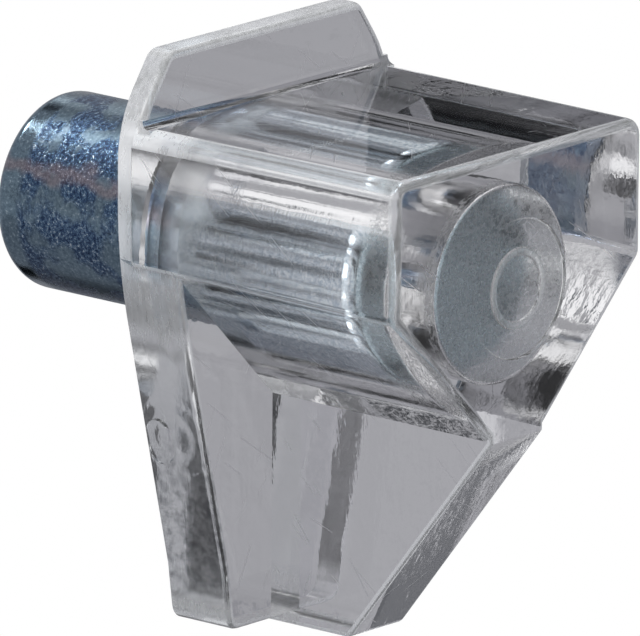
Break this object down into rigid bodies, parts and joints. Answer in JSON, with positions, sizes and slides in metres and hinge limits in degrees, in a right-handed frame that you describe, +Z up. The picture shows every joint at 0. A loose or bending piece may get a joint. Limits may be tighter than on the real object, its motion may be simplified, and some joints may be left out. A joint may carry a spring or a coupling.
{
  "type": "shelf support pin",
  "caption": "Shelf support: a plated steel pin set in a clear moulded bracket with a flat seat, a tab behind the shelf, and a ribbed back plate.",
  "frame": {"origin": "where the pin's axis meets the plane of the bracket's back face", "axes": "+Y along the pin, into the cabinet side; the block that holds the shelf points along -Y; +Z up"},
  "size_m": [0.0096, 0.0149, 0.0146],
  "materials": {
    "zinc_steel": "blue zinc plate",
    "clear_plastic": "clear, glossy"
  },
  "bodies": {
    "root": {"steel_pin": "zinc_steel", "clear_bracket": "clear_plastic"}
  },
  "joints": []
}
